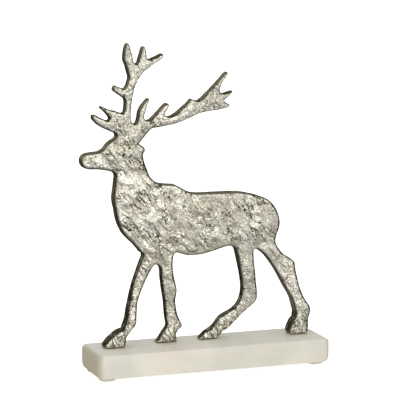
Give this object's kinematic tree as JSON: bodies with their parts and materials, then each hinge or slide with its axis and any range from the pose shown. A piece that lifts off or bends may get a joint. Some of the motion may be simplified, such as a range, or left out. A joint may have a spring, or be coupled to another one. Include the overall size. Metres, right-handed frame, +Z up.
{
  "type": "reindeer figurine",
  "caption": "Flat cast-metal reindeer with tall branching antlers and a hammered front face, walking on a white marble block with small round pads",
  "frame": {"origin": "on the surface the pads stand on, under the middle of the whole piece's extents", "axes": "+Z up; the reindeer walks towards -X; its hammered front face looks to -Y"},
  "size_m": [0.2712, 0.068, 0.3553],
  "materials": {
    "cast_metal": "rough sand-cast and hammered face, bright nickel-silver colour with dark olive pits and edges",
    "white_marble": "honed, faintly veined",
    "pad_rubber": "matt off-white"
  },
  "bodies": {
    "root": {"reindeer": "cast_metal", "marble_base": "white_marble", "pad_front_left": "pad_rubber", "pad_front_right": "pad_rubber", "pad_back_left": "pad_rubber", "pad_back_right": "pad_rubber"}
  },
  "joints": []
}
